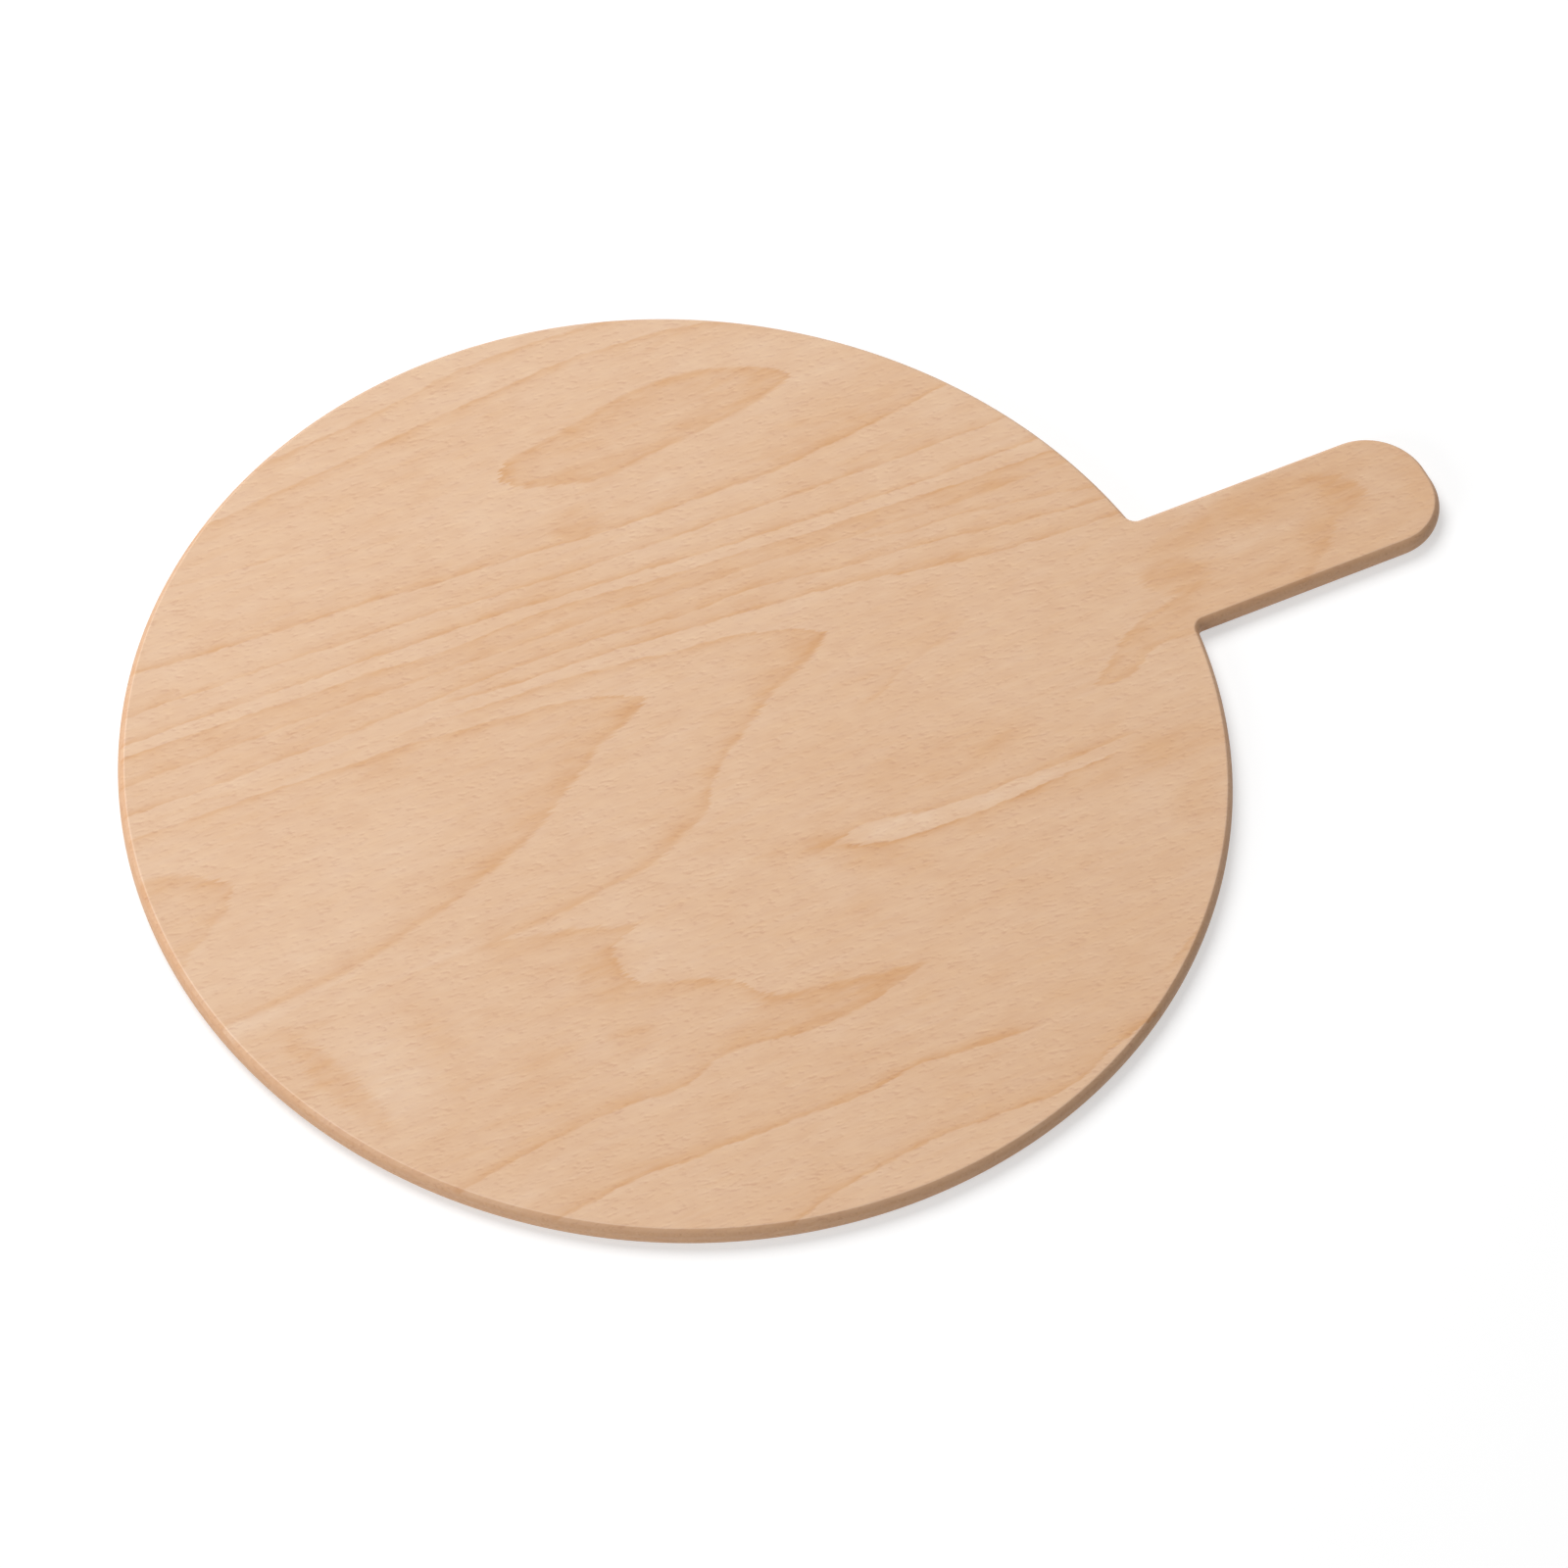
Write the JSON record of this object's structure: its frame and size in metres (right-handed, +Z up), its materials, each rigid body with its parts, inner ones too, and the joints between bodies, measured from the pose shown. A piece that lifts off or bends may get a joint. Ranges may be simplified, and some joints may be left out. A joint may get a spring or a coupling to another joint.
{
  "type": "pizza serving board",
  "caption": "Thin round wooden serving board with one straight, round-ended paddle handle and softly bowed sides, pressed from crossed beech veneers.",
  "frame": {"origin": "centre of the round, on the underside", "axes": "+X along the handle, from the centre of the round to the handle's tip; +Y across the board; +Z up, out of the serving face"},
  "size_m": [0.4455, 0.35, 0.008],
  "materials": {
    "top_face_wood": "pale beech with a wide crown figure, fine sanded, thin matt oil",
    "bottom_face_wood": "pale beech, straighter figure than the top, fine sanded, thin matt oil",
    "long_wood": "beech veneer, grain along the handle, sanded side",
    "cross_wood": "beech veneer, grain across the handle, sanded side"
  },
  "bodies": {
    "root": {"top_face_veneer": "top_face_wood", "upper_cross_veneer": "cross_wood", "upper_long_veneer": "long_wood", "centre_cross_veneer": "cross_wood", "lower_long_veneer": "long_wood", "lower_cross_veneer": "cross_wood", "bottom_face_veneer": "bottom_face_wood"}
  },
  "joints": []
}
